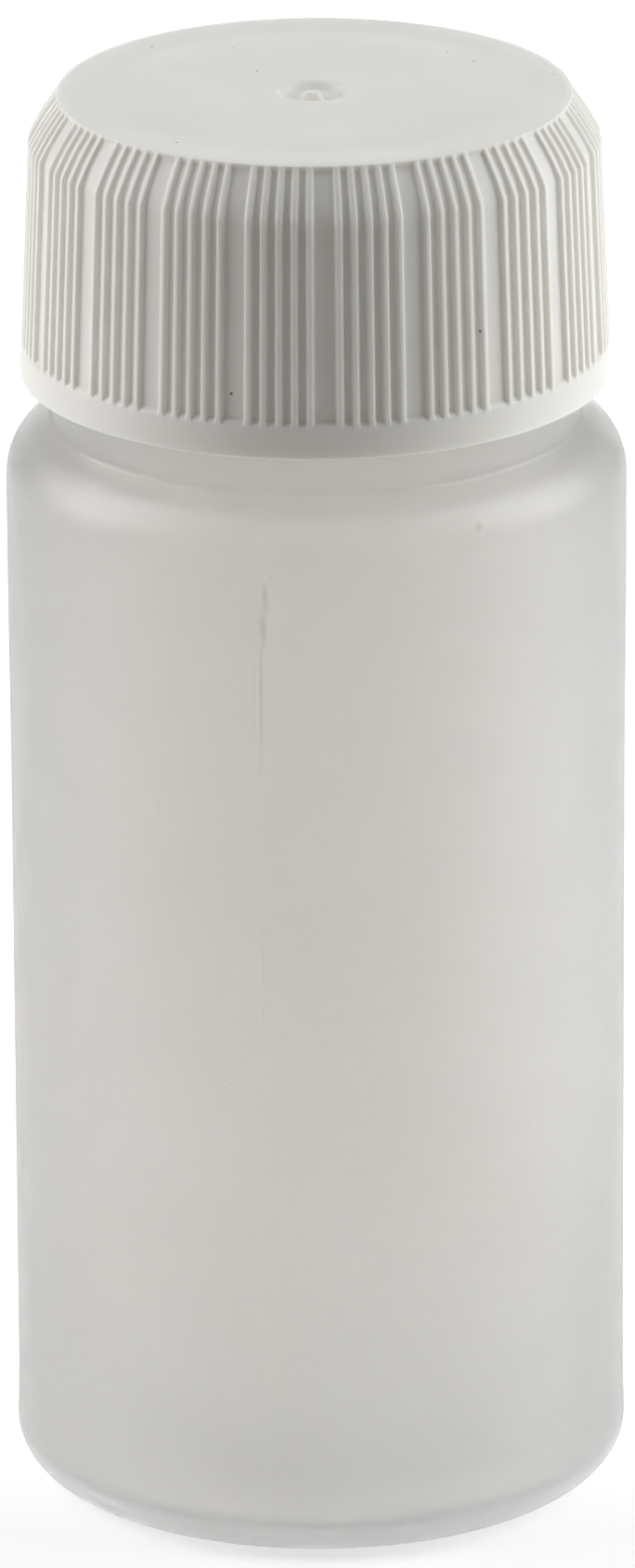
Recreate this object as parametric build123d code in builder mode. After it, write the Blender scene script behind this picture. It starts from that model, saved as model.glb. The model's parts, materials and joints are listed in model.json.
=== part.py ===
"""Wide-mouth reagent bottle with a ribbed screw cap and a loose sealing liner.

Millimetres, +Z up along the bottle's axis.  The origin is the centre of the base, on the
plane that the bottle stands on.  The front of the bottle faces -Y.
"""
from build123d import *
import os

os.makedirs("parts", exist_ok=True)

# ---- driving dimensions: bottle -------------------------------------------------------
body_radius = 18.5        # outside of the straight wall
bottle_height = 84.1      # base plane to the sealing rim
body_wall = 1.1
base_thickness = 1.3
base_corner = 2.7         # outside radius between the base and the wall
foot_width = 4.3          # flat ring that the bottle stands on
base_rise = 0.9           # push-up of the base's centre
base_slope = 1.5          # radial run of the push-up's sloped edge
shoulder_radius = 3.7
shoulder_step = 2.65      # body wall to collar
collar_lip = 0.35         # collar to thread crest
collar_slope = 0.5        # rise of the collar's sloped top
neck_wall = 1.4
neck_flare = 5.0          # height over which the bore widens below the neck
rim_round = 0.35

# ---- driving dimensions: thread -------------------------------------------------------
thread_pitch = 4.0
thread_depth = 1.2
thread_crest = 1.0        # width of a ridge's crest
thread_start = 1.05       # plain length between the collar's top and the cap's first ridge
rim_land = 1.4            # plain length between the last ridge and the rim
thread_bite = 0.25        # how far a ridge's root lies inside its wall

# ---- driving dimensions: cap and liner ------------------------------------------------
cap_height = 17.3
cap_top = 1.6             # thickness of the top plate
skirt_wall = 1.38         # at the skirt's open end
cap_draft = 0.63          # how far the wall leans in, from the open end to the chamfer
chamfer_run = 1.79
chamfer_rise = 2.9
band_height = 1.95        # plain band below the ribs
skirt_gap = 2.75          # collar left in sight between shoulder and skirt
collar_cover = 1.0        # collar covered by the skirt
lead_in = 1.7             # plain counterbore at the skirt's open end
lead_in_slope = 0.4
seat_step = 0.7           # cap's bore to the pocket that the liner lies in
seat_depth = 1.5
seat_slope = 1.2
edge_round = 0.2
liner_thickness = 0.8

# ---- driving dimensions: ribs and gate mark -------------------------------------------
rib_groups = 20
ribs_in_group = 5
rib_spacing = 3.05        # degrees between the ribs of one group
rib_angle = 1.5           # degrees that one rib spans
group_middle = -97.2      # degrees from +X to the middle of the front group
rib_height = 0.35
rib_runout = 0.35         # length over which a groove fades out
disc_rim = 0.15           # whole rim between the grooves and the top disc
gate_radius = 2.3
gate_depth = 0.4
gate_slope = 0.35
nub_radius = 0.6
nub_height = 0.35

# ---- clearances -----------------------------------------------------------------------
thread_clearance = 0.3    # crest to the wall it faces
flank_clearance = 0.5     # ridge to ridge, along the axis
skirt_clearance = 0.35    # collar to the skirt's counterbore
liner_clearance = 0.3     # liner's edge to its pocket

# ---- derived radii --------------------------------------------------------------------
collar_radius = body_radius - shoulder_step
ridge_radius = collar_radius - collar_lip
neck_radius = ridge_radius - thread_depth
bore_radius = neck_radius - neck_wall
cap_bore_radius = ridge_radius + thread_clearance
lead_in_radius = collar_radius + skirt_clearance
skirt_radius = lead_in_radius + skirt_wall
bend_radius = skirt_radius - cap_draft
disc_radius = bend_radius - chamfer_run
seat_radius = cap_bore_radius - seat_step
liner_radius = seat_radius - liner_clearance
foot_inner = body_radius - base_corner - foot_width
shoulder_centre = body_radius - shoulder_radius

# ---- derived heights ------------------------------------------------------------------
rim_z = bottle_height
ceiling_z = rim_z + liner_thickness
top_z = ceiling_z + cap_top
skirt_z = top_z - cap_height
bend_z = top_z - chamfer_rise
rib_foot_z = skirt_z + band_height
seat_z = ceiling_z - seat_depth
collar_top_z = skirt_z + collar_cover
shoulder_top_z = skirt_z - skirt_gap
shoulder_reach = collar_radius - shoulder_centre
shoulder_z = shoulder_top_z - (shoulder_radius**2 - shoulder_reach**2) ** 0.5

# ---- derived thread: both ridges have one section and one helix, half a pitch apart ---
crest_share = thread_clearance / thread_depth
ridge_room = thread_pitch - 2 * flank_clearance
thread_root = (ridge_room - thread_crest * (1 + crest_share)) / (1 - crest_share)
cap_thread_z = collar_top_z + thread_start + thread_root / 2
neck_thread_z = cap_thread_z + thread_pitch / 2
thread_rise = rim_z - rim_land - thread_root / 2 - neck_thread_z


def shoulder_arc(radius):
    """Arc about the shoulder's centre, from the straight wall to the collar's foot."""
    centre = Vector(shoulder_centre, shoulder_z)
    start = Vector(1, 0)
    end = Vector(shoulder_reach, shoulder_top_z - shoulder_z).normalized()
    middle = (start + end).normalized()
    return ThreePointArc(centre + start * radius, centre + middle * radius, centre + end * radius)


def thread_ridge(root_radius, crest_radius, first_z):
    """Right-hand helical ridge with a trapezoid section, rising from first_z."""
    side = 1 if crest_radius > root_radius else -1
    crest = thread_crest / 2
    lean = (thread_root - thread_crest) / 2 / thread_depth
    hidden = crest + lean * (thread_depth + thread_bite)
    with BuildPart() as ridge:
        with BuildLine() as path:
            Helix(thread_pitch, thread_rise, root_radius, center=(0, 0, first_z))
        start = Plane(origin=path.line @ 0, x_dir=(1, 0, 0), z_dir=path.line % 0)
        with BuildSketch(start):
            with BuildLine():
                Polyline((-side * thread_bite, hidden), (side * thread_depth, crest),
                         (side * thread_depth, -crest), (-side * thread_bite, -hidden), close=True)
            make_face()
        sweep(is_frenet=True)
    return ridge.part


def groove(first_angle, angle):
    """Cutter for the space between two ribs, from the band up to the disc's rim."""
    wall = Vector(bend_radius - skirt_radius, bend_z - skirt_z).normalized()
    slope = Vector(disc_radius - bend_radius, top_z - bend_z).normalized()
    wall_out = Vector(wall.Y, -wall.X)
    slope_out = Vector(slope.Y, -slope.X)
    bend = Vector(bend_radius, bend_z)
    foot = bend - wall * ((bend_z - rib_foot_z) / wall.Y)
    head = Vector(disc_radius, top_z) - slope * disc_rim
    outer = 4 * rib_height
    foot_run = wall * rib_runout - wall_out * rib_height
    head_run = slope * rib_runout + slope_out * rib_height
    bend_out = (wall_out + slope_out).normalized()
    stretch = 1 / bend_out.dot(wall_out)
    with BuildPart() as cutter:
        with BuildSketch(Plane.XZ.rotated((0, 0, first_angle))):
            with BuildLine():
                Polyline(foot + foot_run, foot - foot_run * 2, bend + bend_out * outer * stretch,
                         head + head_run * 2, head - head_run,
                         bend - bend_out * rib_height * stretch, close=True)
            make_face()
        revolve(axis=Axis.Z, revolution_arc=angle)
    return cutter.part


# ---- bottle: one blow-moulded body, open at the rim -----------------------------------
floor_round = base_corner - body_wall
inner_radius = body_radius - body_wall
with BuildPart() as bottle:
    with BuildSketch(Plane.XZ):
        with BuildLine():
            Polyline((0, base_rise), (foot_inner - base_slope, base_rise), (foot_inner, 0),
                     (body_radius - base_corner, 0))
            CenterArc((body_radius - base_corner, base_corner), base_corner, 270, 90)
            Line((body_radius, base_corner), (body_radius, shoulder_z))
            shoulder = shoulder_arc(shoulder_radius)
            Polyline(shoulder @ 1, (collar_radius, collar_top_z),
                     (neck_radius, collar_top_z + collar_slope), (neck_radius, rim_z - rim_round))
            CenterArc((neck_radius - rim_round, rim_z - rim_round), rim_round, 0, 90)
            Line((neck_radius - rim_round, rim_z), (bore_radius + rim_round, rim_z))
            CenterArc((bore_radius + rim_round, rim_z - rim_round), rim_round, 90, 90)
            inside = shoulder_arc(shoulder_radius - body_wall)
            Polyline((bore_radius, rim_z - rim_round), (bore_radius, shoulder_top_z + neck_flare),
                     (collar_radius - body_wall, shoulder_top_z), inside @ 1)
            Line((inner_radius, shoulder_z), (inner_radius, base_thickness + floor_round))
            CenterArc((inner_radius - floor_round, base_thickness + floor_round), floor_round,
                      270, 90)
            Polyline((inner_radius - floor_round, base_thickness), (foot_inner, base_thickness),
                     (foot_inner - base_slope, base_thickness + base_rise),
                     (0, base_thickness + base_rise), (0, base_rise))
        make_face()
    revolve(axis=Axis.Z)
    add(thread_ridge(neck_radius, ridge_radius, neck_thread_z))
bottle.part.label = "bottle"
export_step(bottle.part, "parts/bottle.step")

# ---- sealing liner: a loose disc between the rim and the cap's ceiling ----------------
with BuildPart() as sealing_liner:
    with BuildSketch(Plane.XY.offset(rim_z)):
        Circle(liner_radius)
    extrude(amount=liner_thickness)
sealing_liner.part.label = "sealing_liner"
export_step(sealing_liner.part, "parts/sealing_liner.step")

# ---- the grooves of one rib group: the narrow ones, then the wide one after them ------
first_rib = group_middle - rib_spacing * (ribs_in_group - 1) / 2
group_span = 360 / rib_groups
wide_groove = group_span - rib_spacing * (ribs_in_group - 1) - rib_angle
with BuildPart() as group_grooves:
    for rib in range(ribs_in_group - 1):
        add(groove(first_rib + rib * rib_spacing + rib_angle / 2, rib_spacing - rib_angle))
    add(groove(first_rib + (ribs_in_group - 1) * rib_spacing + rib_angle / 2, wide_groove))

# ---- screw cap ------------------------------------------------------------------------
gate_z = top_z - gate_depth
with BuildPart() as screw_cap:
    with BuildSketch(Plane.XZ):
        with BuildLine():
            Polyline((0, ceiling_z), (seat_radius, ceiling_z), (seat_radius, seat_z),
                     (cap_bore_radius, seat_z - seat_slope),
                     (cap_bore_radius, skirt_z + lead_in + lead_in_slope),
                     (lead_in_radius, skirt_z + lead_in), (lead_in_radius, skirt_z),
                     (skirt_radius, skirt_z), (bend_radius, bend_z), (disc_radius, top_z),
                     (gate_radius, top_z), (gate_radius - gate_slope, gate_z), (nub_radius, gate_z),
                     (nub_radius, gate_z + nub_height), (0, gate_z + nub_height), close=True)
        make_face()
    revolve(axis=Axis.Z)
    fillet(screw_cap.edges().group_by(Axis.Z)[0], edge_round)
    with PolarLocations(0, rib_groups):
        add(group_grooves.part, mode=Mode.SUBTRACT)
    add(thread_ridge(cap_bore_radius, cap_bore_radius - thread_depth, cap_thread_z))
screw_cap.part.label = "screw_cap"
export_step(screw_cap.part, "parts/screw_cap.step")
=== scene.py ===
import json
from math import cos, pi, radians, sin, tau

import bpy
import numpy as np
from mathutils import Matrix, Vector


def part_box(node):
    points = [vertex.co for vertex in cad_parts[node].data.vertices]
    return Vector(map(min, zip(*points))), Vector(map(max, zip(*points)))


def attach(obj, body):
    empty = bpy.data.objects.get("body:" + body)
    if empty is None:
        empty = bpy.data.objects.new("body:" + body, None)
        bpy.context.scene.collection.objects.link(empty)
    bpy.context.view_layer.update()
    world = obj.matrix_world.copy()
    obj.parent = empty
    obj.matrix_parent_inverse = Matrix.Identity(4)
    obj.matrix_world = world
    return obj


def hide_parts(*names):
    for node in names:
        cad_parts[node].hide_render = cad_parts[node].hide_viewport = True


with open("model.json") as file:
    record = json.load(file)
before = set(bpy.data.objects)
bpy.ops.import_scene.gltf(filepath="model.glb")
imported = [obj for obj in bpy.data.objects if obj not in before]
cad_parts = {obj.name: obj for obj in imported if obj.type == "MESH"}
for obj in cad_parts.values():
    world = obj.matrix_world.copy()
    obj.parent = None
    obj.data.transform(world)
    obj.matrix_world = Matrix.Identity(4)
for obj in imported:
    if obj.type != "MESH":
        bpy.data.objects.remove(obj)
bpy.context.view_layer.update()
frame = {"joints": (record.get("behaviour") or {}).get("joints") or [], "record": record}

MM = 0.001

# ---- sizes read from the frame --------------------------------------------------------
bottle_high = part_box("bottle")[1]
cap_low, cap_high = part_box("screw_cap")
liner_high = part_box("sealing_liner")[1]
mounts = {m["name"]: m for m in frame["record"]["mounts"]}
turn_joint = next(j for j in frame["joints"] if j["name"] == "cap_turn")
lift_joint = next(j for j in frame["joints"] if j["name"] == "cap_lift")
BODY_R = mounts["body_cylinder"]["dims"]["r_mm"] * MM
RIDGE_R = mounts["neck_thread"]["dims"]["r_mm"] * MM
PITCH = lift_joint["range_m"][1] / (turn_joint["range_deg"][1] / 360)
RIM_Z = bottle_high.z
TOP_Z = cap_high.z
SKIRT_Z = cap_low.z
CEILING_Z = liner_high.z
LINER_R = liner_high.x

# ---- bottle sizes ---------------------------------------------------------------------
WALL = 1.1 * MM
BASE_THICK = 1.3 * MM
BASE_CORNER = 2.7 * MM
FOOT_INNER = 11.5 * MM
BASE_RISE = 0.9 * MM
SHOULDER_R = 3.7 * MM
COLLAR_R = BODY_R - 2.65 * MM
COLLAR_TOP = SKIRT_Z + 1.0 * MM
SHOULDER_TOP = SKIRT_Z - 2.75 * MM
NECK_R = RIDGE_R - 1.2 * MM
BORE_R = NECK_R - 1.4 * MM
SEAM_ANGLE = radians(-100.6)     # mould parting line, just left of the front

# ---- unevenness of the moulded bottle -------------------------------------------------
SLACK = 0.07 * MM                # how far the lower wall hangs in
UNEVEN = 0.035 * MM              # slow swell of the outside
UNEVEN_INSIDE = 0.13 * MM        # and of the inside
SEAM_HEIGHT = 0.022 * MM
SEAM_WIDTH = 0.075 * MM
FLOW_ANGLE = radians(-99.95)     # flow mark, beside the front parting line
FLOW_DEPTH = 0.055 * MM
FLOW_TAIL_DEPTH = 0.026 * MM
FINE_FROM_Z = 47 * MM            # rings stand closer above this, for the flow mark's sake

# ---- thread sizes ---------------------------------------------------------------------
THREAD_DEPTH = 1.2 * MM
THREAD_CREST = 1.0 * MM
THREAD_ROOT = 7 / 3 * MM
CAP_THREAD_Z = COLLAR_TOP + 1.05 * MM + THREAD_ROOT / 2
NECK_THREAD_Z = CAP_THREAD_Z + PITCH / 2
THREAD_RISE = RIM_Z - 1.4 * MM - THREAD_ROOT / 2 - NECK_THREAD_Z
THREAD_FADE = 0.55 * MM          # rise over which a ridge's ends fade out

# ---- cap sizes ------------------------------------------------------------------------
SKIRT_R = COLLAR_R + 1.73 * MM
BEND_R = SKIRT_R - 0.63 * MM
BEND_Z = TOP_Z - 2.9 * MM
DISC_R = BEND_R - 1.79 * MM
BAND = 1.95 * MM
LEAD_R = COLLAR_R + 0.35 * MM
CAP_BORE_R = RIDGE_R + 0.3 * MM
SEAT_R = CAP_BORE_R - 0.7 * MM
GATE_R = 2.3 * MM
GATE_DEPTH = 0.52 * MM
NUB_R = 0.72 * MM
NUB_HEIGHT = 0.46 * MM
RIB_HEIGHT = 0.28 * MM
RIB_GROUPS = 20
RIBS_IN_GROUP = 5
RIB_SPACING = 3.05               # degrees
GROUP_MIDDLE = -97.2             # degrees from +X
RIBS_SPAN = RIB_SPACING * (RIBS_IN_GROUP - 1)
GROUP_SPAN = 360 / RIB_GROUPS


# ---- mesh helpers ---------------------------------------------------------------------
def smooth(x, low, high):
    """0 below low, 1 above high, with a soft step between."""
    t = np.clip((x - low) / (high - low), 0, 1)
    return t * t * (3 - 2 * t)


def turn_from(middle, angle):
    """Signed turn from middle to angle, in radians, the short way round."""
    return np.angle(np.exp(1j * (angle - middle)))


def line(start, end, steps):
    """Points after start, up to and with end."""
    share = np.linspace(0, 1, steps + 1)[1:, None]
    return np.array(start) * (1 - share) + np.array(end) * share


def arc(centre, radius, first, last, steps):
    """Points after the arc's first angle, up to and with its last, in degrees."""
    angle = np.radians(np.linspace(first, last, steps + 1)[1:])
    return np.stack([centre[0] + radius * np.cos(angle), centre[1] + radius * np.sin(angle)], 1)


def outline(start, *stretches):
    return np.concatenate([np.array([start]), *stretches])


def outline_normals(points):
    """Unit normals of an outline, on its right-hand side, which is out of the solid."""
    along = np.gradient(points, axis=0)
    across = np.stack([along[:, 1], -along[:, 0]], 1)
    return across / np.linalg.norm(across, axis=1, keepdims=True)


class Shell:
    """A surface made of rings about the Z axis. Rings may have different numbers of points."""

    def __init__(self):
        self.points, self.faces, self.count, self.last = [], [], 0, None

    def ring(self, angles, radius, height):
        """Adds a ring, joined to the one before it. radius and height are one or many values."""
        angles = np.asarray(angles, float)
        radius = np.broadcast_to(radius, angles.shape)
        height = np.broadcast_to(height, angles.shape)
        ring = (np.arange(len(angles)) + self.count, angles)
        self.points.append(np.stack([radius * np.cos(angles), radius * np.sin(angles), height], 1))
        self.count += len(angles)
        if self.last is not None:
            self.join(self.last, ring)
        self.last = ring

    def pole(self, height):
        self.ring([0.0], 0.0, height)

    def join(self, below, above):
        (a, angle_a), (b, angle_b) = below, above
        if len(a) == len(b):
            self.faces += np.stack([a, np.roll(a, -1), np.roll(b, -1), b], 1).tolist()
        elif len(a) == 1:
            self.faces += [[a[0], int(p), int(q)] for p, q in zip(np.roll(b, -1), b)]
        elif len(b) == 1:
            self.faces += [[int(p), int(q), b[0]] for p, q in zip(a, np.roll(a, -1))]
        else:
            self.zip(a, angle_a, b, angle_b)

    def zip(self, a, angle_a, b, angle_b):
        """Triangles between two rings of different counts, both with rising angles."""
        i = j = 0
        ends_a = np.append(angle_a, angle_a[0] + tau)
        ends_b = np.append(angle_b, angle_b[0] + tau)
        while i < len(a) or j < len(b):
            p, q = int(a[i % len(a)]), int(b[j % len(b)])
            if j == len(b) or (i < len(a) and ends_a[i + 1] <= ends_b[j + 1]):
                self.faces.append([p, int(a[(i + 1) % len(a)]), q])
                i += 1
            else:
                self.faces.append([p, int(b[(j + 1) % len(b)]), q])
                j += 1

    def build(self, name, material):
        mesh = bpy.data.meshes.new(name)
        mesh.from_pydata(np.concatenate(self.points).tolist(), [], self.faces)
        mesh.materials.append(material)
        mesh.shade_smooth()
        mesh.update()
        piece = bpy.data.objects.new(name, mesh)
        bpy.context.scene.collection.objects.link(piece)
        return piece


def thread_height(angle, height, first_z):
    """Height of a helical ridge that rises from first_z at angle 0, with ends that fade out."""
    turn = (height - first_z) / PITCH - np.mod(angle, tau) / tau
    nearest = np.round(turn)
    from_ridge = np.abs(turn - nearest) * PITCH
    climbed = (nearest + np.mod(angle, tau) / tau) * PITCH
    section = 1 - smooth(from_ridge, THREAD_CREST / 2 - 0.1 * MM, THREAD_ROOT / 2)
    start = smooth(climbed, 0, THREAD_FADE)
    finish = 1 - smooth(climbed, THREAD_RISE - THREAD_FADE, THREAD_RISE)
    return THREAD_DEPTH * section * (start * finish)


def ripple(angle, height, size, seed):
    """Slow uneven swell of a moulded wall, between -size and size, the same each run."""
    rng = np.random.default_rng(seed)
    total = 0
    for lobes in (2, 3, 5, 8):
        phase, lean, wave = rng.uniform(0, tau), rng.uniform(-1, 1), rng.uniform(18, 55) * MM
        total = total + np.sin(lobes * angle + lean * height / (9 * MM) + phase) / lobes
        total = total + np.sin(tau * height / wave + phase * 2 + np.cos(angle + phase)) / (lobes + 1)
    return total * size / 2.6


# ---- bottle ---------------------------------------------------------------------------
def seam_angles(base_step, fine_step, reach):
    """Angles round the bottle, closer together near the two mould parting lines."""
    coarse = np.radians(np.arange(-180, 180, base_step))
    near = np.radians(np.arange(-reach, reach + fine_step / 2, fine_step))
    seams = (SEAM_ANGLE, SEAM_ANGLE + pi)
    for seam in seams:
        coarse = coarse[np.abs(turn_from(seam, coarse)) > np.radians(reach + base_step / 3)]
    angles = np.concatenate([coarse, *(seam + near for seam in seams)])
    return np.sort(np.mod(angles, tau))


def seam_offset(angle, height):
    """Signed distance, in metres along the wall, to the nearer parting line, which wanders a little."""
    wander = 0.05 * MM * np.sin(height / (6.1 * MM)) + 0.03 * MM * np.sin(height / (2.3 * MM) + 1)
    top_drift = 0.62 * MM * smooth(height, 52 * MM, 66 * MM)
    foot_drift = 0.25 * MM * (1 - smooth(height, 2 * MM, 20 * MM))
    front = turn_from(SEAM_ANGLE, angle)
    back = turn_from(SEAM_ANGLE + pi, angle)
    nearer = np.where(np.abs(front) < np.abs(back), front, back)
    return nearer * BODY_R + (wander - top_drift + foot_drift)


def flow_mark(angle, height):
    """A leaning dent near the shoulder. Lower down it parts into two thin lines and dies out."""
    across = turn_from(FLOW_ANGLE, angle) * BODY_R
    across = across + 0.035 * (61 * MM - height) + 0.05 * MM * np.sin(height / (1.7 * MM))
    head = smooth(height, 57.2 * MM, 58.8 * MM) * (1 - smooth(height, 60.6 * MM, 61.3 * MM))
    tail = smooth(height, 49 * MM, 56 * MM) * (1 - smooth(height, 58.0 * MM, 59.6 * MM))
    wide = np.exp(-(across / (0.2 * MM)) ** 2)
    twin = np.exp(-((np.abs(across) - 0.17 * MM) / (0.07 * MM)) ** 2)
    return FLOW_DEPTH * wide * head + FLOW_TAIL_DEPTH * twin * tail


def outer_offset(angle, height):
    """How far the outside stands from its plain outline."""
    on_wall = smooth(height, 1.5 * MM, 6 * MM)
    slack = SLACK * (1 - smooth(height, 44 * MM, 57 * MM))
    uneven = 0.5 * (ripple(angle, height, UNEVEN, 4) - UNEVEN)
    below_collar = 1 - smooth(height, SHOULDER_TOP, COLLAR_TOP)
    ridge = np.exp(-(seam_offset(angle, height) / SEAM_WIDTH) ** 2)
    seam = SEAM_HEIGHT * ridge * (0.65 + 0.35 * np.sin(height / (3.7 * MM)))
    seam = seam * (1 + smooth(height, 58 * MM, 63 * MM))
    thread = thread_height(angle, height, NECK_THREAD_Z)
    on_neck = smooth(height, COLLAR_TOP + 0.5 * MM, COLLAR_TOP + 0.55 * MM)
    wall = below_collar * on_wall * (uneven - slack - flow_mark(angle, height))
    return wall + seam * on_wall + thread * on_neck


def base_rise(angle, radius):
    """Height of the base's underside: a push-up with a pinch-off bar along the parting plane."""
    x, y = radius * np.cos(angle - SEAM_ANGLE), radius * np.sin(angle - SEAM_ANGLE)
    push_up = BASE_RISE * (1 - smooth(radius, FOOT_INNER - 2.6 * MM, FOOT_INNER))
    bar = np.exp(-(y / (0.4 * MM)) ** 2) * (1 - smooth(np.abs(x), 7.5 * MM, 9.5 * MM))
    return push_up - 0.28 * MM * bar


def bottle_outline():
    """Outside from the foot up to the rim, then the inside down to the floor."""
    drop = (SHOULDER_R**2 - (COLLAR_R - BODY_R + SHOULDER_R) ** 2) ** 0.5
    centre = (BODY_R - SHOULDER_R, SHOULDER_TOP - drop)
    lean = np.degrees(np.arccos((COLLAR_R - centre[0]) / SHOULDER_R))
    corner = BODY_R - BASE_CORNER
    inner, inner_corner = BODY_R - WALL, BASE_CORNER - WALL
    lip = 0.35 * MM
    step_top = COLLAR_TOP + 0.5 * MM
    hollow = 0.45 * MM
    outside = outline(
        (corner, 0),
        arc((corner, BASE_CORNER), BASE_CORNER, -90, 0, 14),
        line((BODY_R, BASE_CORNER), (BODY_R, FINE_FROM_Z), 30),
        line((BODY_R, FINE_FROM_Z), (BODY_R, centre[1]), 38),
        arc(centre, SHOULDER_R, 0, lean - 14, 14),
        arc((COLLAR_R + hollow, SHOULDER_TOP + hollow * 0.62), hollow, 232, 180, 5),
        line((COLLAR_R, SHOULDER_TOP + hollow), (COLLAR_R, COLLAR_TOP - lip), 7),
        arc((COLLAR_R - lip, COLLAR_TOP - lip), lip, 0, 70, 5),
        line((COLLAR_R - lip, COLLAR_TOP), (NECK_R + 0.3 * MM, step_top - 0.05 * MM), 4),
        line((NECK_R + 0.3 * MM, step_top - 0.05 * MM), (NECK_R, step_top + 0.25 * MM), 2),
        line((NECK_R, step_top + 0.25 * MM), (NECK_R, RIM_Z - lip), 64),
        arc((NECK_R - lip, RIM_Z - lip), lip, 0, 90, 6),
        line((NECK_R - lip, RIM_Z), (BORE_R + lip, RIM_Z), 3),
    )
    inside = outline(
        (BORE_R + lip, RIM_Z),
        arc((BORE_R + lip, RIM_Z - lip), lip, 90, 180, 6),
        line((BORE_R, RIM_Z - lip), (BORE_R, SHOULDER_TOP + 5 * MM), 14),
        line((BORE_R, SHOULDER_TOP + 5 * MM), (COLLAR_R - WALL - 0.1 * MM, SHOULDER_TOP), 10),
        arc(centre, SHOULDER_R - WALL, lean, 0, 12),
        line((inner, centre[1]), (inner, BASE_THICK + inner_corner), 36),
        arc((inner - inner_corner, BASE_THICK + inner_corner), inner_corner, 0, -90, 10),
    )
    return outside, inside[1:]


def make_bottle(material):
    angles = seam_angles(1.5, 0.15, 2.7)
    outside, inside = bottle_outline()
    shell = Shell()
    shell.pole(base_rise(0.0, 0.0))
    for radius in np.linspace(0.4 * MM, BODY_R - BASE_CORNER - 0.3 * MM, 40):
        shell.ring(angles, radius, base_rise(angles, radius))
    for (radius, height), (out_r, out_z) in zip(outside, outline_normals(outside)):
        off = outer_offset(angles, height)
        shell.ring(angles, radius + off * out_r, height + off * out_z)
    plain = np.radians(np.arange(0, 360, 2.0))
    for (radius, height), (out_r, out_z) in zip(inside, outline_normals(inside)):
        below_neck = 1 - smooth(height, SHOULDER_TOP - 2 * MM, SHOULDER_TOP + 5 * MM)
        off = ripple(plain, height, UNEVEN_INSIDE, 7) * below_neck
        shell.ring(plain, radius + off * out_r, height + off * out_z)
    for radius in np.linspace(inside[-1][0] - 0.5 * MM, 0.5 * MM, 20):
        rise = BASE_RISE * (1 - smooth(radius, FOOT_INNER - 3.2 * MM, FOOT_INNER))
        shell.ring(plain, radius, BASE_THICK + rise)
    shell.pole(BASE_THICK + BASE_RISE)
    return shell.build("bottle_shell", material)


# ---- screw cap ------------------------------------------------------------------------
def rib_columns():
    """Angles round the cap's wall: close together on the ribs, few between them. Radians, rising."""
    across = np.array([0.2, 0.42, 0.54, 0.66, 0.78, 0.9, 1.05])
    across = np.concatenate([-across[::-1], across])
    angles = []
    for group in range(RIB_GROUPS):
        first = GROUP_MIDDLE - RIBS_SPAN / 2 + group * GROUP_SPAN
        for rib in range(RIBS_IN_GROUP):
            angles.append(first + rib * RIB_SPACING + across)
        angles.append(first + RIBS_SPAN + np.linspace(1.6, GROUP_SPAN - RIBS_SPAN - 1.6, 4))
    return np.sort(np.mod(np.radians(np.concatenate(angles)), tau))


def groove_share(angle):
    """1 in a groove, 0 on a rib's crest."""
    half = GROUP_SPAN / 2
    from_middle = np.mod(np.degrees(angle) - GROUP_MIDDLE + half, GROUP_SPAN) - half
    last = (RIBS_IN_GROUP - 1) / 2
    rib = np.clip(np.round(from_middle / RIB_SPACING), -last, last)
    return smooth(np.abs(from_middle - rib * RIB_SPACING), 0.40, 0.98)


def cap_wall_outline():
    """Outside of the cap's wall, from the open end up to the disc's edge."""
    edge = 0.22 * MM
    wall_top = (BEND_R + 0.005 * MM, BEND_Z - 0.12 * MM)
    slope_foot = (BEND_R - 0.05 * MM, BEND_Z + 0.12 * MM)
    slope_top = (DISC_R + 0.19 * MM, TOP_Z - 0.32 * MM)
    crown = 0.06 * MM * np.sin(np.linspace(0, pi, 9)[1:])
    slope = line(slope_foot, slope_top, 8) + crown[:, None] * np.array([0.8, 0.6])
    foot = (SKIRT_R - 0.63 * MM * BAND / (BEND_Z - SKIRT_Z), SKIRT_Z + BAND)
    return outline(
        (SKIRT_R - edge, SKIRT_Z),
        arc((SKIRT_R - edge - 0.01 * MM, SKIRT_Z + edge), edge, -90, 0, 5),
        line((SKIRT_R - 0.01 * MM, SKIRT_Z + edge), foot, 4),
        line(foot, (foot[0] - 0.02 * MM, foot[1] + 0.5 * MM), 5),
        line((foot[0] - 0.02 * MM, foot[1] + 0.5 * MM), wall_top, 6),
        line(wall_top, (BEND_R - 0.012 * MM, BEND_Z), 2),
        line((BEND_R - 0.012 * MM, BEND_Z), slope_foot, 2),
        slope,
        line(slope_top, (DISC_R + 0.03 * MM, TOP_Z - 0.06 * MM), 5),
    )


def disc_height(angle, radius):
    """Top of the cap: a crease at the edge, a faint sink ring and the gate's dimple with its nub."""
    edge = -0.04 * MM * smooth(radius, DISC_R - 0.3 * MM, DISC_R)
    crease = -0.02 * MM * np.exp(-((radius - DISC_R + 0.55 * MM) / (0.12 * MM)) ** 2)
    sink = -0.06 * MM * np.exp(-((radius - 12.4 * MM) / (1.3 * MM)) ** 2)
    dimple = -GATE_DEPTH * (1 - smooth(radius, GATE_R - 0.75 * MM, GATE_R))
    x, y = radius * np.cos(angle) + 0.12 * MM, radius * np.sin(angle)
    from_nub = np.hypot(x, y) * (1 + 0.12 * np.sin(3 * angle + 1))
    nub = NUB_HEIGHT * (1 - smooth(from_nub, 0.3 * MM, NUB_R * 1.1))
    tip = 0.05 * MM * np.sin(2 * angle + 0.6) * np.exp(-((from_nub - 0.25 * MM) / (0.2 * MM)) ** 2)
    return TOP_Z - 0.02 * MM + edge + crease + sink + dimple + nub + tip


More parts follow.
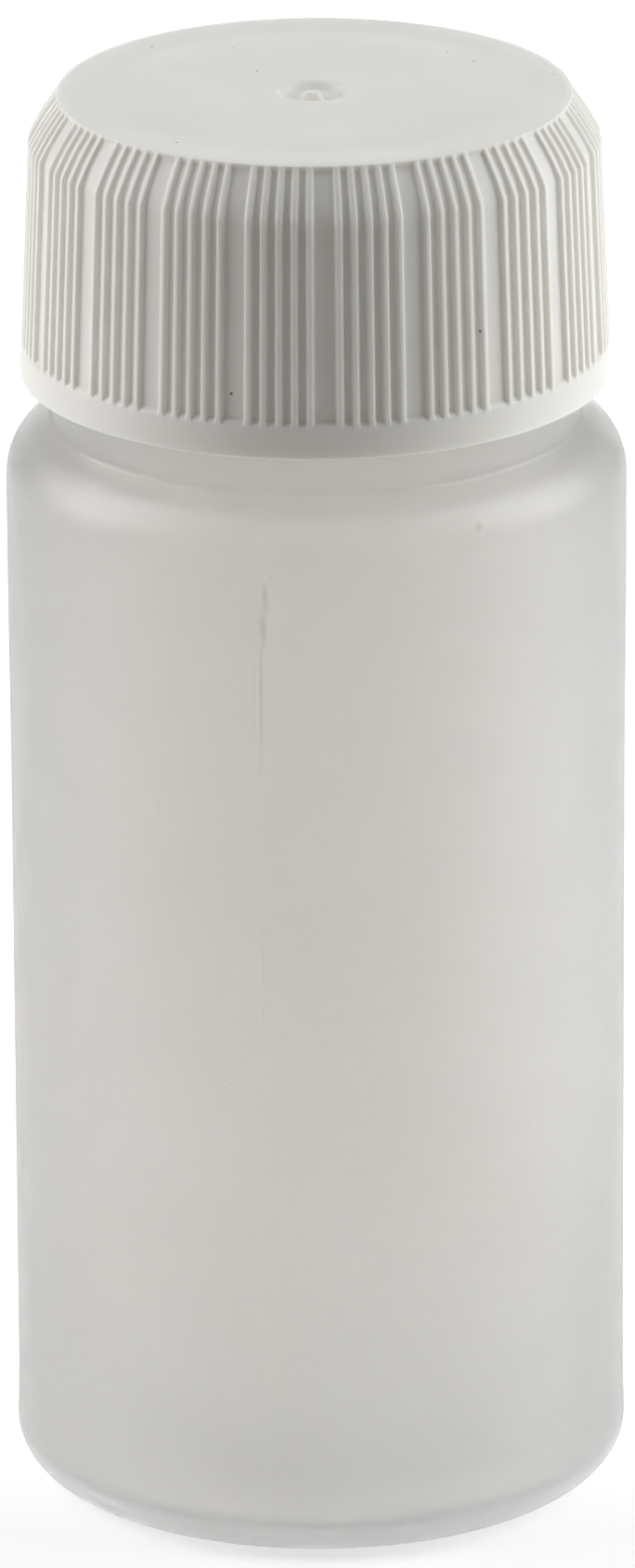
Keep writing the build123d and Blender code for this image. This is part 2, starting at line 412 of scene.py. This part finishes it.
def cap_inside_outline():
    """Inside of the cap, from the ceiling's middle out to the wall and down to the open end."""
    thread_top = CAP_THREAD_Z + THREAD_RISE + THREAD_ROOT / 2 + 0.3 * MM
    seat_z = CEILING_Z - 1.5 * MM
    edge = 0.22 * MM
    lead_top = SKIRT_Z + 1.7 * MM
    return outline(
        (SEAT_R - 0.5 * MM, CEILING_Z),
        arc((SEAT_R - 0.4 * MM, CEILING_Z - 0.4 * MM), 0.4 * MM, 90, 0, 5),
        line((SEAT_R, CEILING_Z - 0.4 * MM), (SEAT_R, seat_z), 3),
        line((SEAT_R, seat_z), (CAP_BORE_R, seat_z - 1.2 * MM), 4),
        line((CAP_BORE_R, seat_z - 1.2 * MM), (CAP_BORE_R, thread_top), 2),
        line((CAP_BORE_R, thread_top), (CAP_BORE_R, lead_top + 0.4 * MM), 52),
        line((CAP_BORE_R, lead_top + 0.4 * MM), (LEAD_R, lead_top), 3),
        line((LEAD_R, lead_top), (LEAD_R, SKIRT_Z + edge), 4),
        arc((LEAD_R + edge, SKIRT_Z + edge), edge, 180, 270, 5),
    )


def make_cap(material):
    ribbed = rib_columns()
    plain = np.radians(np.arange(0, 360, 1.5))
    wall = cap_wall_outline()
    groove = groove_share(ribbed)
    foot, head = SKIRT_Z + BAND, TOP_Z - 0.06 * MM
    shell = Shell()
    shell.pole(CEILING_Z)
    for radius in np.linspace(1 * MM, SEAT_R - 0.6 * MM, 9):
        shell.ring(plain, radius, CEILING_Z)
    for radius, height in cap_inside_outline():
        shell.ring(plain, radius - thread_height(plain, height, CAP_THREAD_Z), height)
    for (radius, height), (out_r, out_z) in zip(wall, outline_normals(wall)):
        rise = smooth(height, foot, foot + 0.42 * MM)
        fade = 1 - smooth(height, head - 0.3 * MM, head)
        lower = 1 - 0.25 * smooth(height, BEND_Z, BEND_Z + 1 * MM)
        depth = RIB_HEIGHT * rise * fade * lower * groove
        shell.ring(ribbed, radius - depth * out_r, height - depth * out_z)
    rims = np.concatenate([DISC_R - np.array([0, 0.1, 0.25, 0.4, 0.55, 0.7, 0.9]) * MM,
                           np.linspace(DISC_R - 1.4 * MM, GATE_R + 0.5 * MM, 22)])
    for radius in rims:
        shell.ring(plain, radius, disc_height(plain, radius))
    gate = np.radians(np.arange(0, 360, 4.0))
    for radius in np.linspace(GATE_R + 0.15 * MM, 0.06 * MM, 34):
        shell.ring(gate, radius, disc_height(gate, radius))
    shell.pole(disc_height(0.0, 0.0))
    return shell.build("ribbed_cap", material)


# ---- liner ----------------------------------------------------------------------------
def make_liner(material):
    """A foam disc with rounded edges. Its underside lies on the rim and is pressed thinner there."""
    angles = np.radians(np.arange(0, 360, 3.0))
    edge = 0.18 * MM
    low, high = RIM_Z, CEILING_Z
    shell = Shell()
    shell.pole(low + 0.005 * MM)
    for radius in np.linspace(1 * MM, LINER_R - edge, 40):
        pressed = smooth(radius, BORE_R - 0.2 * MM, BORE_R + 0.3 * MM)
        pressed = pressed * (1 - smooth(radius, NECK_R - 0.3 * MM, NECK_R + 0.2 * MM))
        shell.ring(angles, radius, low + 0.005 * MM + 0.045 * MM * pressed)
    for radius, height in arc((LINER_R - edge, low + edge), edge, -90, 0, 4):
        shell.ring(angles, radius, height)
    upper_edge = arc((LINER_R - edge, high - edge), edge, 0, 90, 4)
    for radius, height in outline((LINER_R, high - edge), upper_edge):
        shell.ring(angles, radius, height)
    for radius in np.linspace(LINER_R - 2 * edge, 1 * MM, 8):
        shell.ring(angles, radius, high)
    shell.pole(high)
    return shell.build("foam_liner", material)


# ---- materials ------------------------------------------------------------------------
def new_material(name):
    material = bpy.data.materials.new(name)
    material.use_nodes = True
    tree = material.node_tree
    return material, tree, tree.nodes["Principled BSDF"]


def set_sockets(node, **values):
    for socket, value in values.items():
        node.inputs[socket.replace("_", " ")].default_value = value


def own_place(tree):
    """Position in the piece's own coordinates, in metres."""
    return tree.nodes.new("ShaderNodeTexCoord").outputs["Object"]


def maths(tree, operation, first, second):
    """A Math node's result. second is a socket or a number."""
    node = tree.nodes.new("ShaderNodeMath")
    node.operation = operation
    tree.links.new(first, node.inputs[0])
    if isinstance(second, float):
        node.inputs[1].default_value = second
    else:
        tree.links.new(second, node.inputs[1])
    return node.outputs[0]


def mixed(tree, share, first, second, blend_type="MIX"):
    """Mix of two colours. Each of the three is a socket or a constant."""
    node = tree.nodes.new("ShaderNodeMix")
    node.data_type = "RGBA"
    node.blend_type = blend_type
    for socket, value in (("Factor", share), ("A", first), ("B", second)):
        if isinstance(value, tuple):
            node.inputs[socket].default_value = (*value, 1)
        elif isinstance(value, float):
            node.inputs[socket].default_value = value
        else:
            tree.links.new(value, node.inputs[socket])
    return node.outputs["Result"]


def noise(tree, scale, detail=2.0, stretch=(1, 1, 1)):
    """Noise in the piece's own coordinates. scale is in features per metre."""
    mapping = tree.nodes.new("ShaderNodeMapping")
    mapping.inputs["Scale"].default_value = stretch
    tree.links.new(own_place(tree), mapping.inputs["Vector"])
    texture = tree.nodes.new("ShaderNodeTexNoise")
    set_sockets(texture, Scale=scale, Detail=detail)
    tree.links.new(mapping.outputs["Vector"], texture.inputs["Vector"])
    return texture.outputs["Fac"]


def ramp(tree, source, low, high, first, last):
    """Maps source from low..high onto first..last, clamped."""
    node = tree.nodes.new("ShaderNodeMapRange")
    for socket, value in zip(("From Min", "From Max", "To Min", "To Max"), (low, high, first, last)):
        node.inputs[socket].default_value = value
    tree.links.new(source, node.inputs["Value"])
    return node.outputs["Result"]


def bump(tree, height, distance, strength=1.0, under=None):
    node = tree.nodes.new("ShaderNodeBump")
    set_sockets(node, Distance=distance, Strength=strength)
    tree.links.new(height, node.inputs["Height"])
    if under:
        tree.links.new(under, node.inputs["Normal"])
    return node.outputs["Normal"]


def spot(tree, centre, size, soft=0.4, stretch=1.0):
    """1 near a point of the piece, fading to 0 at size metres. stretch lengthens it along Z."""
    away = tree.nodes.new("ShaderNodeVectorMath")
    away.operation = "SUBTRACT"
    away.inputs[1].default_value = centre
    squeeze = tree.nodes.new("ShaderNodeVectorMath")
    squeeze.operation = "MULTIPLY"
    squeeze.inputs[1].default_value = (1, 1, 1 / stretch)
    length = tree.nodes.new("ShaderNodeVectorMath")
    length.operation = "LENGTH"
    tree.links.new(own_place(tree), away.inputs[0])
    tree.links.new(away.outputs["Vector"], squeeze.inputs[0])
    tree.links.new(squeeze.outputs["Vector"], length.inputs[0])
    return ramp(tree, length.outputs["Value"], size * soft, size, 1, 0)


def on_body(degrees, height, out=0.0):
    """A point of the bottle's outside, from its angle and its height in millimetres."""
    radius = BODY_R + out * MM
    return (radius * cos(radians(degrees)), radius * sin(radians(degrees)), height * MM)


def most(tree, *masks):
    """The greatest of several masks."""
    total = masks[0]
    for mask in masks[1:]:
        total = maths(tree, "MAXIMUM", total, mask)
    return total


def below(tree, low, high):
    """1 below the low height of the piece, 0 above the high one."""
    parts = tree.nodes.new("ShaderNodeSeparateXYZ")
    tree.links.new(own_place(tree), parts.inputs["Vector"])
    return ramp(tree, parts.outputs["Z"], low, high, 1, 0)


def multiplied(tree, first, second):
    return mixed(tree, 1.0, first, second, "MULTIPLY")


def faded(tree, mask, share):
    return maths(tree, "MULTIPLY", mask, share)


def specks(tree, spacing, size, share):
    """Round specks about size across, scattered in cells of the given spacing, in a share of them."""
    cells = tree.nodes.new("ShaderNodeTexVoronoi")
    set_sockets(cells, Scale=1 / spacing)
    tree.links.new(own_place(tree), cells.inputs["Vector"])
    dot = ramp(tree, cells.outputs["Distance"], size / spacing * 0.35, size / spacing * 0.6, 1, 0)
    parts = tree.nodes.new("ShaderNodeSeparateColor")
    tree.links.new(cells.outputs["Color"], parts.inputs["Color"])
    chosen = ramp(tree, parts.outputs["Red"], 1 - share, 1 - share + 0.01, 0, 1)
    return maths(tree, "MULTIPLY", dot, chosen)


def polyethylene():
    """Natural blow-moulded polyethylene: milky, satin, faintly uneven, lit right through."""
    material, tree, shader = new_material("milky_polyethylene")
    cloud = ramp(tree, noise(tree, 70, 3), 0.35, 0.65, 0, 1)
    milk = mixed(tree, cloud, (0.945, 0.919, 0.881), (0.958, 0.939, 0.907))
    pimple = spot(tree, on_body(-58.3, 64.5, -0.3), 0.45 * MM, 0.1)
    streak = most(tree, spot(tree, on_body(-99.5, 60.9), 0.26 * MM, 0.2, 5),
                  spot(tree, on_body(-99.9, 59.1), 0.3 * MM, 0.3, 5.5))
    tail = spot(tree, on_body(-100.35, 55.0), 0.14 * MM, 0.4, 42)
    smudge = faded(tree, spot(tree, on_body(-120.7, 47.2), 0.5 * MM, 0.0, 1.6), 0.3)
    # painted shade: a thin darker line along the mould parting line, at 38 mm and 17 mm of height
    seam_shade = most(tree, spot(tree, on_body(-100.5, 38.0), 0.1 * MM, 0.3, 160),
                      spot(tree, on_body(-101.0, 17.0), 0.1 * MM, 0.3, 130))
    dots = specks(tree, 2.5 * MM, 0.13 * MM, 0.35)
    # Real marks, specks and the painted seam shade together, all darkened by the one colour below.
    marks_and_seam_shade = most(tree, faded(tree, pimple, 0.9), streak, faded(tree, tail, 0.6),
                 faded(tree, seam_shade, 0.3), smudge, faded(tree, dots, 0.8))
    stained_and_shaded = mixed(tree, marks_and_seam_shade, (1, 1, 1), (0.72, 0.7, 0.68))
    # Painted shade: the bottle is painted darker and cooler below 2.3 to 3 mm of height.
    painted_base_shade = mixed(tree, below(tree, 2.3 * MM, 3.0 * MM), (1, 1, 1), (0.875, 0.90, 0.928))
    colour = multiplied(tree, multiplied(tree, milk, stained_and_shaded), painted_base_shade)
    tree.links.new(colour, shader.inputs["Base Color"])
    tree.links.new(ramp(tree, noise(tree, 400, 3), 0.3, 0.7, 0.43, 0.52), shader.inputs["Roughness"])
    drawn = bump(tree, noise(tree, 900, 2, (1, 1, 0.06)), 0.006 * MM)
    grain = bump(tree, noise(tree, 5200, 2), 0.004 * MM, under=drawn)
    raised = bump(tree, pimple, 0.08 * MM, under=grain)
    tree.links.new(raised, shader.inputs["Normal"])
    set_sockets(shader, IOR=1.5, Transmission_Weight=0.76, Specular_IOR_Level=0.5,
                Subsurface_Weight=1.0, Subsurface_Scale=0.004, Subsurface_Radius=(1.0, 0.95, 0.85),
                Coat_Weight=0.35, Coat_Roughness=0.42)
    return material


def polypropylene():
    """Off-white moulded polypropylene with a fine satin texture and a few dark specks."""
    material, tree, shader = new_material("white_polypropylene")
    cloud = ramp(tree, noise(tree, 120, 3), 0.35, 0.65, 0, 1)
    plain = mixed(tree, cloud, (0.77, 0.753, 0.714), (0.795, 0.779, 0.745))
    colour = mixed(tree, specks(tree, 1.6 * MM, 0.18 * MM, 0.18), plain, (0.16, 0.14, 0.12))
    tree.links.new(colour, shader.inputs["Base Color"])
    tree.links.new(ramp(tree, noise(tree, 900, 3), 0.3, 0.7, 0.40, 0.50), shader.inputs["Roughness"])
    tree.links.new(bump(tree, noise(tree, 5200, 3), 0.003 * MM), shader.inputs["Normal"])
    set_sockets(shader, IOR=1.49, Specular_IOR_Level=0.35,
                Subsurface_Weight=0.5, Subsurface_Scale=0.0012, Subsurface_Radius=(1.0, 0.93, 0.8))
    return material


def foam():
    """White closed-cell foam."""
    material, tree, shader = new_material("liner_foam")
    cells = noise(tree, 3000, 1)
    colour = mixed(tree, cells, (0.86, 0.86, 0.84), (0.93, 0.93, 0.92))
    tree.links.new(colour, shader.inputs["Base Color"])
    tree.links.new(ramp(tree, cells, 0.3, 0.7, 0.55, 0.7), shader.inputs["Roughness"])
    tree.links.new(bump(tree, cells, 0.03 * MM), shader.inputs["Normal"])
    return material


def pale_floor():
    """Matt white with painted light: it glows as a light table does, in a wide soft pool, in one on
    each side of the bottle and in a small one under it."""
    material, tree, shader = new_material("pale_floor")
    set_sockets(shader, Base_Color=(0.54, 0.525, 0.50, 1), Roughness=0.9, Specular_IOR_Level=0.1,
                Emission_Color=(0.96, 0.98, 1.0, 1))
    # Painted light: glowing pools of floor behind the bottle and on each side of it.
    pool = most(tree, faded(tree, spot(tree, (0, 0.25, 0), 0.36, 0.7), 0.6),
                faded(tree, spot(tree, (-0.13, 0, 0), 0.1, 0.5), 1.1),
                faded(tree, spot(tree, (0.13, 0, 0), 0.1, 0.5), 1.9))
    # Painted light: a small glowing spot of floor under the bottle, which lights its base from below.
    emitter = faded(tree, spot(tree, (0, 0, 0), 0.012, 0.4), 1.2)
    glow = ramp(tree, maths(tree, "ADD", pool, emitter), 0, 2, 0.06, 2.06)
    tree.links.new(glow, shader.inputs["Emission Strength"])
    return material


# ---- stage, lights and camera ---------------------------------------------------------
def make_floor():
    size = 3.0
    mesh = bpy.data.meshes.new("floor")
    corners = [(-size, -size, 0), (size, -size, 0), (size, size, 0), (-size, size, 0)]
    mesh.from_pydata(corners, [], [(0, 1, 2, 3)])
    mesh.materials.append(pale_floor())
    floor = bpy.data.objects.new("floor", mesh)
    bpy.context.scene.collection.objects.link(floor)


def soft_light(name, azimuth, elevation, distance, width, height, power, colour=(1, 1, 1)):
    """Area light that looks at the bottle. Azimuth is in degrees from the front, + to the right."""
    light = bpy.data.lights.new(name, "AREA")
    light.shape = "RECTANGLE"
    light.size, light.size_y, light.energy = width, height, power
    light.color = colour
    a, e = radians(azimuth), radians(elevation)
    target = Vector((0, 0, 0.045))
    place = target + distance * Vector((sin(a) * cos(e), -cos(a) * cos(e), sin(e)))
    emitter = bpy.data.objects.new(name, light)
    emitter.location = place
    emitter.rotation_euler = (target - place).to_track_quat("-Z", "Y").to_euler()
    bpy.context.scene.collection.objects.link(emitter)


def make_lights():
    soft_light("overhead", 0, 88, 0.75, 0.9, 0.7, 1.8, (0.965, 0.985, 1.0))
    soft_light("left_side", -96, 28, 0.6, 0.5, 0.6, 3.05, (0.985, 0.99, 1.0))
    soft_light("right_side", 96, 28, 0.6, 0.5, 0.6, 3.25, (0.965, 0.985, 1.0))
    soft_light("behind", 180, 5, 0.75, 0.7, 0.22, 1.1)
    world = bpy.data.worlds.new("studio")
    world.use_nodes = True
    world.node_tree.nodes["Background"].inputs["Color"].default_value = (1, 0.955, 0.88, 1)
    world.node_tree.nodes["Background"].inputs["Strength"].default_value = 0.04
    bpy.context.scene.world = world


def make_camera():
    distance = 44.10 * BODY_R
    elevation, roll = radians(19.68), radians(-0.30)
    target = Vector((-0.0017 * BODY_R, 0, 2.322 * BODY_R))
    place = target + distance * Vector((0, -cos(elevation), sin(elevation)))
    data = bpy.data.cameras.new("camera")
    data.lens, data.sensor_width = 311.5, 36.0
    data.clip_start, data.clip_end = 0.05, 20
    camera = bpy.data.objects.new("camera", data)
    look = (target - place).to_track_quat("-Z", "Y").to_matrix().to_4x4()
    camera.matrix_world = Matrix.Translation(place) @ look @ Matrix.Rotation(roll, 4, "Z")
    bpy.context.scene.collection.objects.link(camera)
    bpy.context.scene.camera = camera


# ---- the scene ------------------------------------------------------------------------
bpy.context.scene.view_settings.view_transform = "Standard"
make_camera()
make_floor()
make_lights()

bottle = make_bottle(polyethylene())
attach(bottle, "bottle")
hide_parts("bottle")

cap = make_cap(polypropylene())
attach(cap, "cap")
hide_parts("screw_cap")

liner = make_liner(foam())
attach(liner, "liner")
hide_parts("sealing_liner")
